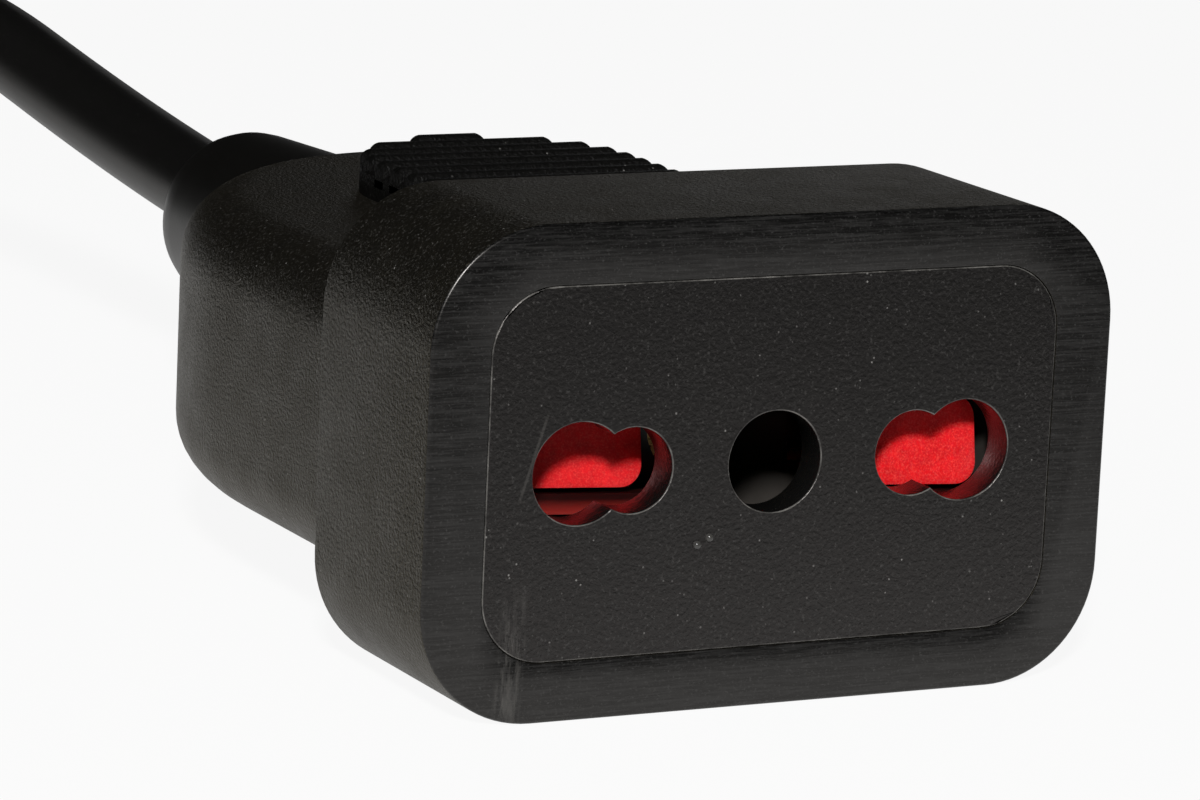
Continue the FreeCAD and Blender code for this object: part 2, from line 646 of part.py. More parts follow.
PIN_BACK = "shroud_depth + insert_depth + pin_tail"
PIN_RISE = {"line": -1, "neutral": -1, "earth": 1}
plug_wires = {}
pins = {}
pin_back = size("shroud_depth") + size("insert_depth") + size("pin_tail")
plug_cord = size("plug_cord")
for pole, side in CORE_SIDES.items():
    rise = PIN_RISE[pole]
    tip = "pin_setback - earth_lead" if pole == "earth" else "pin_setback"
    across = "%d * pin_pitch - pin_wide / 2" % side
    foot = "%d * pin_rise - pin_tall / 2" % rise
    length = PIN_BACK + " - (" + tip + ")"
    pins[pole] = box("pin_room_" + pole, across, tip, foot, "pin_wide", length, "pin_tall")
    box("plug_%s_pin" % pole, "plug_x + " + across, "plug_y + " + tip, "plug_height / 2 + " + foot,
        "pin_wide", length, "pin_tall")
    plug_wires[pole] = core("plug_%s_run" % pole, pin_back, side * size("pin_pitch"),
                            rise * size("pin_rise"), plug_cord, 0, CORE_ANGLES[pole])
insert_room = box("insert_room", "0 - insert_width / 2", "shroud_depth", "0 - insert_height / 2",
                  "insert_width", "insert_depth", "insert_height")
pin_room = doc.addObject("Part::MultiFuse", "pin_room")
pin_room.Shapes = list(pins.values())
place_plug(cut("plug_insert", insert_room, pin_room))
plug_sheath = rod("plug_sheath", "0", "plug_cord", "0", "cord_diameter / 2", "plug_end")
grooves = []
groove_count = int((size("plug_end") - size("plug_depth")) / size("groove_pitch")) - 2
for i in range(groove_count):
    place = "plug_depth + %d * groove_pitch" % (i + 2)
    ring = rod("groove_skin_%d" % i, "0", place, "0", "2 * relief_root", "groove_width")
    root = rod("groove_root_%d" % i, "0", "plug_depth", "0", "groove_core", "plug_end")
    grooves.append(cut("groove_%d" % i, ring, root))
plug_room = doc.addObject("Part::MultiFuse", "plug_room")
plug_room.Shapes = ([shroud_room, insert_room, pin_room, plug_sheath] + grooves
                    + list(plug_wires.values()))
place_plug(cut("plug_housing", plug_solid, plug_room))

# Cord and cores in their places.
socket_seat = FreeCAD.Placement(V(0, -socket_middle, axis_height), FreeCAD.Rotation())
plug_seat = FreeCAD.Placement(V(size("plug_x"), size("plug_y"), size("plug_height") / 2),
                              FreeCAD.Rotation())
shaped("cord", cord_run.Shape).Placement = socket_seat
for pole in CORE_SIDES:
    shaped(pole + "_wire", wires[pole].Shape).Placement = socket_seat
    shaped("plug_%s_wire" % pole, plug_wires[pole].Shape).Placement = plug_seat

NODES = ["socket_housing", "face_panel", "contact_carrier", "shutter", "shutter_spring_left",
         "shutter_spring_right", "line_contact", "neutral_contact", "earth_contact",
         "line_wire", "neutral_wire", "earth_wire", "cord", "plug_housing", "plug_insert",
         "plug_line_pin", "plug_neutral_pin", "plug_earth_pin", "plug_line_wire",
         "plug_neutral_wire", "plug_earth_wire"]
doc.recompute()
for item in doc.Objects:
    if "Invalid" in item.State or "Error" in item.State:
        raise RuntimeError("%s could not be made: %s" % (item.Label, item.State))
os.makedirs("parts", exist_ok=True)
for name in NODES:
    item = doc.getObject(name)
    item.Label = name
    solid = item.Shape
    if solid.isNull() or not solid.isValid() or len(solid.Solids) != 1:
        raise RuntimeError("%s is not one valid solid" % name)
    solid.exportStep("parts/%s.step" % name)
    bounds = solid.BoundBox
    print("%-22s volume %9.2f  x %7.2f %7.2f  y %7.2f %7.2f  z %7.2f %7.2f" % (
        name, solid.Volume, bounds.XMin, bounds.XMax, bounds.YMin, bounds.YMax, bounds.ZMin,
        bounds.ZMax))
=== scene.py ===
"""Dressing of a power adapter cable: a moulded in-line socket, its cord and an inlet plug."""
import math

import bpy
from mathutils import Euler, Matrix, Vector


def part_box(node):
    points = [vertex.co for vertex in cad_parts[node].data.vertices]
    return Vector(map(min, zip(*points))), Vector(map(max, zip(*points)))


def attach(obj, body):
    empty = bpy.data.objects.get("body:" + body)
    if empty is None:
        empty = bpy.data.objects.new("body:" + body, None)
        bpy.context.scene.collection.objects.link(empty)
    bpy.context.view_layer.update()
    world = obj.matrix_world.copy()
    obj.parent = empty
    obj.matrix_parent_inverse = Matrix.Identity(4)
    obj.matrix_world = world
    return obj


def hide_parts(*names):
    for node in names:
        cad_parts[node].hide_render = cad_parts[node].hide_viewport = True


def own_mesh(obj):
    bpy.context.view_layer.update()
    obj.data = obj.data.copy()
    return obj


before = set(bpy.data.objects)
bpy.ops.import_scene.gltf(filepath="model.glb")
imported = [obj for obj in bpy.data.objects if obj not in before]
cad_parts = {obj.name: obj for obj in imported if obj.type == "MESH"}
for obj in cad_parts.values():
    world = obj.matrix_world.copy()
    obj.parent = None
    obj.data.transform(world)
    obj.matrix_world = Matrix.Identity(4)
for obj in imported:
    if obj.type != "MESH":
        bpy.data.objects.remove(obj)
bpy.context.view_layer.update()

bl_info = {
    "name": "Power adapter cable",
    "version": (1, 0, 0),
    "blender": (4, 5, 0),
    "location": "View3D > Sidebar > Adapter",
    "description": "Builds the mouldings, cord and finishes of a power adapter cable",
    "category": "Add Mesh",
}

BODY = "cable"
POLES = ("line", "neutral", "earth")

# Tolerances in metres: places that count as one, and a rise that counts as level.
NEAR = 1e-6
LEVEL = 1e-7

# Share of a direction that counts as along an axis, and as facing the front.
ALONG = 0.9
FACING = 0.5

# Turns of a shutter spring, and the steps of one turn.
SPRING_TURNS = 5
TURN_STEPS = 28

# Tints of the sheen on the plastics.
PLAIN_SHEEN = (1.0, 1.0, 1.0)
GRAIN_SHEEN = (1.0, 0.84, 0.52)
SATIN_SHEEN = (1.0, 0.96, 0.90)
RIM_SHEEN = (1.0, 0.96, 0.92)
PANEL_SHEEN = (1.0, 0.93, 0.90)

# Tones of rubbed plastic and of dust, which are scaled by how pale they are.
WEAR_TONE = (1.0, 0.97, 0.90)
DUST_TONE = (1.0, 0.97, 0.92)

# Marks on the face, with heights in metres: the band's fading top and the scratch's two ends.
BAND_TOP = (0.0052, 0.0090)
SCRATCH_FOOT = (0.0132, 0.0140)
SCRATCH_TOP = (0.0182, 0.0190)
SCRATCH_STRENGTH = 0.5

# The shutter: its roll; the heights in metres of the painted shade on its lips and of the painted
# dark slot under its pads;
# the tone of its grit, which is partly painted sparkle; and how far light goes in its red, green
# and blue.
SHUTTER_ROLL = 0.0306
LIP_SHADE_EDGE = (0.01185, 0.011)
SLOT_SHADE_TOP = (0.01235, 0.0125)
GRIT_AND_SPARKLE_RED = (0.92, 0.14, 0.11)
RED_SCATTER = (1.0, 0.08, 0.05)

# The stage, in metres; a lamp has a place and a width.
FLOOR_SIZE = 8.0
TENT_RADIUS = 1.6
TENT_TONE = (0.02, 0.02, 0.02)
LAMP_AIM = (0.0, -0.03, 0.015)
FRONT_LAMP = ((-0.35, -0.68, 0.44), 0.08)
BACK_LAMP = ((0.50, 0.62, 0.22), 0.35)
CLIP_START = 0.01

# The camera's sensor in millimetres, and how white the table looks and is mirrored.
SENSOR_WIDTH = 36.0
TABLE_WHITE = 0.92
SHEET_BRIGHT = 0.85
SHEET_DARK = 0.06

# The cord's turning points between the neck and the plug, in metres.
CORD_ROUTE = [
    (0.0, 0.0199, 0.0156),
    (0.0, 0.042972, 0.0156),
    (-0.012214, 0.087116, 0.029984),
    (-0.039246, 0.102554, 0.016654),
    (-0.060264, 0.097036, 0.006548),
    (-0.072850, 0.086372, 0.003150),
    (-0.078430, 0.070500, 0.003150),
    (-0.0768, 0.0525, 0.0104),
    (-0.0768, 0.0410, 0.0104),
]

# Neck profile as radius and distance from the face: cone, dome and cord collar.
NECK_PROFILE = [
    (0.00730, 0.0550), (0.00715, 0.0595), (0.00700, 0.0640), (0.00690, 0.0670),
    (0.00677, 0.0710), (0.00662, 0.0755), (0.00650, 0.0790), (0.00640, 0.0802),
    (0.00615, 0.0812), (0.00580, 0.0820), (0.00535, 0.0827), (0.00480, 0.0834),
    (0.00425, 0.0839), (0.00380, 0.0843), (0.00345, 0.0849), (0.00322, 0.0856),
    (0.00309, 0.0860), (0.00300, 0.0860),
]


def length(name, about, value):
    """Length property shown in the scene's units."""
    return bpy.props.FloatProperty(name=name, description=about, default=value, unit="LENGTH",
                                   precision=5)


def colour(name, about, value):
    """Colour property in linear values."""
    return bpy.props.FloatVectorProperty(name=name, description=about, default=value, size=3,
                                         subtype="COLOR", min=0.0, max=1.0)


class SocketSizes(bpy.types.PropertyGroup):
    """Sizes of the socket's mouldings."""

    face_width: length("Face width", "Width of the front block", 0.046)
    face_height: length("Face height", "Height of the front block", 0.030)
    face_corner: length("Face corner", "Corner radius of the front block", 0.0074)
    block_depth: length("Block depth", "Depth of the front block", 0.0155)
    rim_edge: length("Rim edge", "Rounding of the front block's rims", 0.00022)
    panel_width: length("Panel width", "Width of the face panel's recess", 0.0382)
    panel_height: length("Panel height", "Height of the face panel's recess", 0.0226)
    panel_corner: length("Panel corner", "Corner radius of the face panel's recess", 0.0041)
    recess_depth: length("Recess depth", "Depth of the face panel's recess", 0.0140)
    seam: length("Seam", "Gap round the face panel", 0.00003)
    seam_edge: length("Seam edge", "Rounding of the recess's mouth", 0.00007)
    nub_across: length("Nub across", "Place of the first moulding nub across the panel", -0.00502)
    nub_rise: length("Nub rise", "Height of the first moulding nub above the hole axis", -0.00479)
    nub_gap: length("Nub gap", "Distance between the moulding nubs", 0.0008)
    spring_radius: length("Spring radius", "Mean radius of the shutter springs", 0.0009)
    spring_wire: length("Spring wire", "Wire diameter of the shutter springs", 0.0003)
    shutter_travel: length("Shutter travel", "How far the shutter slides down", 0.0058)
    nub_radius: length("Nub radius", "Radius of a moulding nub", 0.00028)
    body_width: length("Body width", "Width of the round-ended body", 0.0442)
    body_height: length("Body height", "Height of the round-ended body", 0.0190)
    body_tip: length("Body tip", "Distance of the body's tip from the face", 0.0608)
    body_round: length("Body round", "Length of the body's rounded end", 0.0280)
    body_edge: length("Body edge", "Edge rounding of the body", 0.0044)
    pad_width: length("Pad width", "Width of the thumb pad", 0.0184)
    pad_end: length("Pad end", "Distance of the pad's round end from the face", 0.0482)
    pad_edge: length("Pad edge", "Edge rounding of the pad below its ribs", 0.0004)
    pad_crest: length("Pad crest", "Height of the ribs' crests above the body", 0.0027)
    rib_height: length("Rib height", "Depth of the grooves between the ribs", 0.0009)
    rib_pitch: length("Rib pitch", "Spacing of the ribs", 0.0023)
    rib_width: length("Rib width", "Thickness of a rib", 0.0013)
    rib_setback: length("Rib setback", "Last rib from the pad's round end", 0.0010)
    neck_lift: length("Neck lift", "Height of the neck above the hole axis", 0.0006)


class CordSizes(bpy.types.PropertyGroup):
    """Sizes of the cord."""

    diameter: length("Diameter", "Outside diameter of the sheath", 0.0062)
    reach: length("Length", "Length of the sheath from end to end, in the mouldings too", 0.187)


class Finishes(bpy.types.PropertyGroup):
    """Colours of the materials."""

    overmould: colour("Overmould", "Black soft moulding", (0.0046, 0.0044, 0.0040))
    rim: colour("Rim", "Skimmed front rim", (0.0050, 0.0049, 0.0048))
    panel: colour("Panel", "Hard face panel", (0.0046, 0.0045, 0.0043))
    # The inner plastic is lighter than black, as painted light in the dark holes; the plug's
    # insert takes it too, and the recess a darker share of it.
    inner: colour("Inner plastic", "Smooth inner mouldings", (0.040, 0.036, 0.032))
    shutter: colour("Shutter", "Red shutter", (0.76, 0.005, 0.011))
    # The lips' dim red is painted shade.
    lip: colour("Shutter lip", "Dim lips below the shutter's pads", (0.26, 0.018, 0.014))
    # The pale rubbed-mark colour also gives the painted highlights on the panel's edges and on the
    # nubs.
    rubbed: colour("Rubbed marks", "Pale marks on the face", (0.045, 0.043, 0.040))
    sheath: colour("Sheath", "Cord sheath", (0.0036, 0.0035, 0.0034))
    brass: colour("Brass", "Stamped contacts", (0.62, 0.42, 0.16))
    steel: colour("Steel", "Shutter springs", (0.50, 0.50, 0.49))
    nickel: colour("Nickel", "Plug pins", (0.66, 0.63, 0.57))
    line_core: colour("Line core", "Insulation of the line core", (0.16, 0.055, 0.02))
    neutral_core: colour("Neutral core", "Insulation of the neutral core", (0.02, 0.09, 0.42))
    earth_core: colour("Earth core", "Insulation of the earth core", (0.12, 0.35, 0.03))
    floor: colour("Floor", "Pale table", (0.80, 0.80, 0.79))


class StageSizes(bpy.types.PropertyGroup):
    """Camera and lamps."""

    camera_place: bpy.props.FloatVectorProperty(
        name="Camera place", description="Where the camera stands", size=3, subtype="TRANSLATION",
        default=(-0.16127, -0.33396, 0.08681))
    camera_turn: bpy.props.FloatVectorProperty(
        name="Camera turn", description="How the camera is turned", size=3, subtype="EULER",
        default=tuple(math.radians(v) for v in (78.352, -2.559, -26.609)))
    lens: bpy.props.FloatProperty(
        name="Lens", description="Focal length in millimetres on a 36 mm sensor", default=171.0)
    front_power: bpy.props.FloatProperty(
        name="Front lamp", description="Power of the lamp above the camera", default=8.5,
        unit="POWER")
    back_power: bpy.props.FloatProperty(
        name="Back lamp", description="Power of the lamp behind at the right", default=0.13,
        unit="POWER")
    fill: bpy.props.FloatProperty(
        name="Fill", description="Strength of the room's light", default=0.35)
    sheet_middle: bpy.props.FloatVectorProperty(
        name="Sheet middle", description="Middle of the table's bright part", size=3,
        subtype="TRANSLATION", default=(0.0, 0.16, 0.0))
    sheet_near: length("Sheet near", "Distance up to which the table mirrors white", 0.215)
    sheet_far: length("Sheet far", "Distance from which the table mirrors dark", 0.33)


def sizes():
    """The socket's sizes."""
    return bpy.context.scene.adapter_socket


def tints():
    """The materials' colours."""
    return bpy.context.scene.adapter_finishes


def face_y(distance):
    """Row-frame Y of a place at a distance behind the socket face."""
    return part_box("face_panel")[0][1] + distance


def axis_z():
    """Row-frame Z of the hole axis."""
    low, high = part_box("face_panel")
    return (low[2] + high[2]) / 2


# Modelling helpers.
def clear_selection():
    """Object mode with nothing selected."""
    if bpy.context.object and bpy.context.object.mode != "OBJECT":
        bpy.ops.object.mode_set(mode="OBJECT")
    bpy.ops.object.select_all(action="DESELECT")


def select_only(piece):
    """Make a piece the one object that is selected and active."""
    clear_selection()
    piece.select_set(True)
    bpy.context.view_layer.objects.active = piece


def copy_of(piece):
    """Copy of a piece with its own mesh, selected and active."""
    select_only(piece)
    bpy.ops.object.duplicate()
    return bpy.context.object


def begin(name):
    """Name the primitive that was just added and open it in edit mode."""
    piece = bpy.context.object
    piece.name = name
    piece.data.name = name
    bpy.ops.object.transform_apply(location=True, rotation=True, scale=True)
    bpy.ops.object.mode_set(mode="EDIT")
    return piece


def block(name, middle, spans):
    """Box about a middle, open in edit mode."""
    clear_selection()
    bpy.ops.mesh.primitive_cube_add(size=1, location=middle, scale=spans)
    return begin(name)


def round_edges(width, steps):
    """Round the selected edges."""
    bpy.ops.mesh.bevel(offset=width, offset_type="OFFSET", segments=steps, affect="EDGES")


def take_all():
    """Select the whole mesh in edit mode."""
    bpy.ops.mesh.select_all(action="SELECT")


def along_y(at, run):
    """Test for edges that run from front to back."""
    return abs(run.y) > ALONG * run.length


def pick(piece, kind, test):
    """Select the vertices, edges or faces that pass a test on their middle and direction."""
    bpy.ops.mesh.select_mode(type=kind)
    bpy.ops.mesh.select_all(action="DESELECT")
    bpy.ops.object.mode_set(mode="OBJECT")
    mesh = piece.data
    points = mesh.vertices
    if kind == "VERT":
        for point in points:
            point.select = test(point.co)
    elif kind == "EDGE":
        for edge in mesh.edges:
            first, second = (points[i].co for i in edge.vertices)
            edge.select = test((first + second) / 2, second - first)
    else:
        for face in mesh.polygons:
            face.select = test(face.center, face.normal)
    bpy.ops.object.mode_set(mode="EDIT")


def finish(piece, finishes, smooth=35):
    """Close a piece's modelling: smooth shading, materials, slot and body."""
    bpy.ops.object.mode_set(mode="OBJECT")
    bpy.ops.object.shade_smooth_by_angle(angle=math.radians(smooth))
    for finish_material in finishes:
        piece.data.materials.append(finish_material)
    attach(piece, BODY)


def add_modifier(piece, kind, **settings):
    """Add a modifier to the active piece and apply it."""
    modifier = piece.modifiers.new(kind.title(), kind)
    for key, value in settings.items():
        setattr(modifier, key, value)
    bpy.ops.object.modifier_apply(modifier=modifier.name)


def dress(node, finish_material, edge=0.0, clamp=True):
    """Give a CAD node a finish and, where asked, softened edges."""
    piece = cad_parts[node]
    for place in piece.material_slots:
        place.material = finish_material
    if edge:
        weld = piece.modifiers.new("Weld", "WELD")
        weld.merge_threshold = NEAR
        bevel = piece.modifiers.new("Bevel", "BEVEL")
        bevel.width = edge
        bevel.segments = 3
        bevel.limit_method = "ANGLE"
        bevel.angle_limit = math.radians(40)
        bevel.harden_normals = True
        bevel.use_clamp_overlap = clamp


# Shader node groups and materials.
def open_group(name, inputs, outputs):
    """New shader node group with named sockets, its nodes and its two end nodes."""
    group = bpy.data.node_groups.new(name, "ShaderNodeTree")
    for label, kind, value in inputs:
        socket = group.interface.new_socket(label, in_out="INPUT", socket_type=kind)
        if value is not None:
            socket.default_value = value
    for label, kind in outputs:
        group.interface.new_socket(label, in_out="OUTPUT", socket_type=kind)
    start = group.nodes.new("NodeGroupInput")
    end = group.nodes.new("NodeGroupOutput")
    return group, start, end


def noise(tree, vector, scale, detail, roughness=0.55):
    """Noise texture fed with a vector."""
    node = tree.nodes.new("ShaderNodeTexNoise")
    node.inputs["Scale"].default_value = scale
    node.inputs["Detail"].default_value = detail
    node.inputs["Roughness"].default_value = roughness
    tree.links.new(vector, node.inputs["Vector"])
    return node.outputs["Fac"]


def reach(tree, value, low, high, out_low=0.0, out_high=1.0):
    """Value moved from one range to another and clamped."""
    node = tree.nodes.new("ShaderNodeMapRange")
    node.inputs["From Min"].default_value = low
    node.inputs["From Max"].default_value = high
    node.inputs["To Min"].default_value = out_low
    node.inputs["To Max"].default_value = out_high
    tree.links.new(value, node.inputs["Value"])
    return node.outputs["Result"]


def fade(tree, value, low, high):
    """Mask that is full up to low and gone from high."""
    return reach(tree, value, low, high, 1.0, 0.0)


def between(tree, mask, first, second):
    """Value that goes from first to second as a mask goes from 0 to 1."""
    return reach(tree, mask, 0.0, 1.0, first, second)


def combine(tree, kind, first, second):
    """Two values joined by an arithmetic node; the second may be a number."""
    node = tree.nodes.new("ShaderNodeMath")
    node.operation = kind
    tree.links.new(first, node.inputs[0])
    if isinstance(second, (int, float)):
        node.inputs[1].default_value = second
    else:
        tree.links.new(second, node.inputs[1])
    return node.outputs["Value"]


def streaked_noise(tree, vector, scales, detail, roughness=0.55):
    """Noise with a scale of its own along each axis."""
    node = tree.nodes.new("ShaderNodeVectorMath")
    node.operation = "MULTIPLY"
    node.inputs[1].default_value = scales
    tree.links.new(vector, node.inputs[0])
    return noise(tree, node.outputs["Vector"], 1.0, detail, roughness)


def grain_group():
    """Eroded mould grain: its height, its rubbed peaks, tiny bright specks and an uneven tone."""
    known = bpy.data.node_groups.get("moulded_grain")
    if known:
        return known
    group, start, end = open_group(
        "moulded_grain",
        [("Vector", "NodeSocketVector", None), ("Fineness", "NodeSocketFloat", 1.0)],
        [(label, "NodeSocketFloat") for label in ("Height", "Peaks", "Specks", "Tone")])
    scaled = group.nodes.new("ShaderNodeVectorMath")
    scaled.operation = "SCALE"
    group.links.new(start.outputs["Vector"], scaled.inputs[0])
    group.links.new(start.outputs["Fineness"], scaled.inputs["Scale"])
    vector = scaled.outputs["Vector"]
    pebbles = noise(group, vector, scale=3400.0, detail=2.0, roughness=0.6)
    group.links.new(reach(group, pebbles, low=0.32, high=0.68), end.inputs["Height"])
    grit = noise(group, vector, scale=4200.0, detail=2.0, roughness=0.7)
    group.links.new(reach(group, grit, low=0.57, high=0.75), end.inputs["Peaks"])
    dust = group.nodes.new("ShaderNodeTexVoronoi")
    dust.inputs["Scale"].default_value = 1700.0
    group.links.new(vector, dust.inputs["Vector"])
    dots = fade(group, dust.outputs["Distance"], low=0.08, high=0.16)
    clouds = noise(group, vector, scale=700.0, detail=4.0, roughness=0.7)
    patches = reach(group, clouds, low=0.54, high=0.66)
    group.links.new(combine(group, "MULTIPLY", dots, patches), end.inputs["Specks"])
    polish = noise(group, vector, scale=260.0, detail=4.0)
    group.links.new(reach(group, polish, low=0.3, high=0.7), end.inputs["Tone"])
    return group


def streak_group():
    """Fine level streaks of a skimmed face."""
    known = bpy.data.node_groups.get("skimmed_streaks")
    if known:
        return known
    group, start, end = open_group(
        "skimmed_streaks", [("Vector", "NodeSocketVector", None)],
        [("Height", "NodeSocketFloat"), ("Tone", "NodeSocketFloat")])
    vector = start.outputs["Vector"]
    fine = streaked_noise(group, vector, (150.0, 150.0, 9000.0), detail=3.0, roughness=0.7)
    short = streaked_noise(group, vector, (500.0, 500.0, 7000.0), detail=3.0, roughness=0.7)
    group.links.new(combine(group, "ADD", fine, short), end.inputs["Height"])
    both = combine(group, "MULTIPLY", fine, short)
    group.links.new(reach(group, both, low=0.2, high=0.36), end.inputs["Tone"])
    return group


def mark_group():
    """Rubbed marks on the face's lower left: a broken pale band and one thin scratch."""
    known = bpy.data.node_groups.get("rubbed_marks")
    if known:
        return known
    group, start, end = open_group("rubbed_marks", [("Vector", "NodeSocketVector", None)],
                                   [("Mask", "NodeSocketFloat")])
    vector = start.outputs["Vector"]
    parts = group.nodes.new("ShaderNodeSeparateXYZ")
    group.links.new(vector, parts.inputs["Vector"])
    across, up = parts.outputs["X"], parts.outputs["Z"]

    def line(place, tilt, wide):
        """Mask of a line that crosses Z = 0 at place and leans by tilt."""
        off = combine(group, "SUBTRACT", combine(group, "SUBTRACT", across, place),
                      combine(group, "MULTIPLY", up, tilt))
        return fade(group, combine(group, "ABSOLUTE", off, 0.0), wide / 2, wide)

    spots = streaked_noise(group, vector, (2600.0, 2600.0, 420.0), detail=4.0, roughness=0.7)
    broken = reach(group, spots, low=0.42, high=0.62)
    band = combine(group, "MULTIPLY", line(place=-0.0173, tilt=0.055, wide=0.0010), broken)
    band = combine(group, "MULTIPLY", band, fade(group, up, *BAND_TOP))
    ends = combine(group, "MULTIPLY", reach(group, up, *SCRATCH_FOOT),
                   fade(group, up, *SCRATCH_TOP))
    scratch = combine(group, "MULTIPLY", line(place=-0.02122, tilt=0.318, wide=0.00012), ends)
    scratch = combine(group, "MULTIPLY", scratch, SCRATCH_STRENGTH)
    group.links.new(combine(group, "MAXIMUM", band, scratch), end.inputs["Mask"])
    return group


def open_material(name, roughness, specular=0.5, metallic=0.0, sheen_tone=PLAIN_SHEEN):
    """New material with its tree, its shader and Object coordinates."""
    material = bpy.data.materials.new(name)
    material.use_nodes = True
    tree = material.node_tree
    shader = tree.nodes["Principled BSDF"]
    shader.inputs["Roughness"].default_value = roughness
    shader.inputs["Specular IOR Level"].default_value = specular
    shader.inputs["Specular Tint"].default_value = (*sheen_tone, 1.0)
    shader.inputs["Metallic"].default_value = metallic
    place = tree.nodes.new("ShaderNodeTexCoord").outputs["Object"]
    return material, tree, shader, place


def use_group(tree, group, vector):
    """Place a node group in a material, fed with a vector."""
    node = tree.nodes.new("ShaderNodeGroup")
    node.node_tree = group
    tree.links.new(vector, node.inputs["Vector"])
    return node


def mix_colour(tree, factor, first, second):
    """Colour between two colours; either may be a socket."""
    node = tree.nodes.new("ShaderNodeMix")
    node.data_type = "RGBA"
    tree.links.new(factor, node.inputs["Factor"])
    for label, value in (("A", first), ("B", second)):
        socket = [s for s in node.inputs if s.name == label and s.type == "RGBA"][0]
        if isinstance(value, bpy.types.NodeSocket):
            tree.links.new(value, socket)
        else:
            socket.default_value = (*value, 1.0)
    return [s for s in node.outputs if s.type == "RGBA"][0]


def bump(tree, shader, height, strength, distance):
    """Bump that feeds the shader's normal."""
    node = tree.nodes.new("ShaderNodeBump")
    node.inputs["Strength"].default_value = strength
    node.inputs["Distance"].default_value = distance
    tree.links.new(height, node.inputs["Height"])
    tree.links.new(node.outputs["Normal"], shader.inputs["Normal"])


def shade(tint, factor):
    """Colour scaled by a factor."""
    return tuple(min(1.0, c * factor) for c in tint)


def grained_plastic(name, tint, roughness, fineness=1.0, relief=0.00005, wear=0.07, dust=0.25,
                    specular=0.5, uneven=0.04, sheen_tone=GRAIN_SHEEN):
    """Moulded plastic with eroded grain, rubbed peaks, uneven polish and a little pale dust."""
    known = bpy.data.materials.get(name)
    if known:
        return known
    material, tree, shader, place = open_material(name, roughness, specular, sheen_tone=sheen_tone)
    grain = use_group(tree, grain_group(), place)
    grain.inputs["Fineness"].default_value = fineness
    rubbed = mix_colour(tree, grain.outputs["Peaks"], tint, shade(WEAR_TONE, wear))
    dusted = mix_colour(tree, grain.outputs["Specks"], rubbed, shade(DUST_TONE, dust))
    tree.links.new(dusted, shader.inputs["Base Color"])
    rough = between(tree, grain.outputs["Tone"], roughness - uneven, roughness + uneven)
    tree.links.new(rough, shader.inputs["Roughness"])
    bump(tree, shader, grain.outputs["Height"], strength=1.0, distance=relief)
    return material


def skimmed_plastic(name, tint):
    """Front rim with fine level streaks and rubbed marks."""
    known = bpy.data.materials.get(name)
    if known:
        return known
    material, tree, shader, place = open_material(name, roughness=0.32, sheen_tone=RIM_SHEEN)
    streaks = use_group(tree, streak_group(), place)
    toned = mix_colour(tree, streaks.outputs["Tone"], shade(tint, 0.4), shade(tint, 2.6))
    grain = use_group(tree, grain_group(), place)
    grain.inputs["Fineness"].default_value = 1.6
    toned = mix_colour(tree, grain.outputs["Peaks"], toned, shade(tint, 6.0))
    marks = use_group(tree, mark_group(), place)
    marked = mix_colour(tree, marks.outputs["Mask"], toned, tints().rubbed)
    tree.links.new(marked, shader.inputs["Base Color"])
    rough = between(tree, streaks.outputs["Tone"], first=0.27, second=0.35)
    tree.links.new(rough, shader.inputs["Roughness"])
    bump(tree, shader, streaks.outputs["Height"], strength=1.0, distance=0.000004)
    return material


def panel_plastic(name, tint):
    """Hard face panel: fine grain, rubbed marks, painted highlights on the edges and smooth walls
    in the holes.
    """
    known = bpy.data.materials.get(name)
    if known:
        return known
    material, tree, shader, place = open_material(name, roughness=0.34, sheen_tone=PANEL_SHEEN)
    grain = use_group(tree, grain_group(), place)
    grain.inputs["Fineness"].default_value = 1.1
    facing = tree.nodes.new("ShaderNodeSeparateXYZ")
    tree.links.new(tree.nodes["Texture Coordinate"].outputs["Normal"], facing.inputs["Vector"])
    upright = combine(tree, "ABSOLUTE", facing.outputs["Y"], 0.0)
    flat = reach(tree, upright, low=0.3, high=0.6)
    # Painted highlights: the bevels round the face and the holes get a pale, patchy tone.
    edges = combine(tree, "MULTIPLY", flat, reach(tree, upright, low=0.98, high=0.9))
    blotches = noise(tree, place, scale=420.0, detail=4.0, roughness=0.7)
    patchy = reach(tree, blotches, low=0.4, high=0.62, out_low=0.15)
    edges = combine(tree, "MULTIPLY", edges, patchy)
    peaks = combine(tree, "MULTIPLY", grain.outputs["Peaks"], flat)
    specks = combine(tree, "MULTIPLY", grain.outputs["Specks"], flat)
    rubbed = mix_colour(tree, peaks, tint, shade(tint, 6.5))
    dusted = mix_colour(tree, specks, rubbed, shade(DUST_TONE, 0.2))
    marks = use_group(tree, mark_group(), place)
    marked = mix_colour(tree, marks.outputs["Mask"], dusted, tints().rubbed)
    edge_highlighted = mix_colour(tree, edges, marked, shade(tints().rubbed, 3.2))
    tree.links.new(edge_highlighted, shader.inputs["Base Color"])
    rough = between(tree, flat, first=0.26, second=0.34)
    tree.links.new(rough, shader.inputs["Roughness"])
    bump(tree, shader, grain.outputs["Height"], strength=1.0, distance=0.000016)
    return material


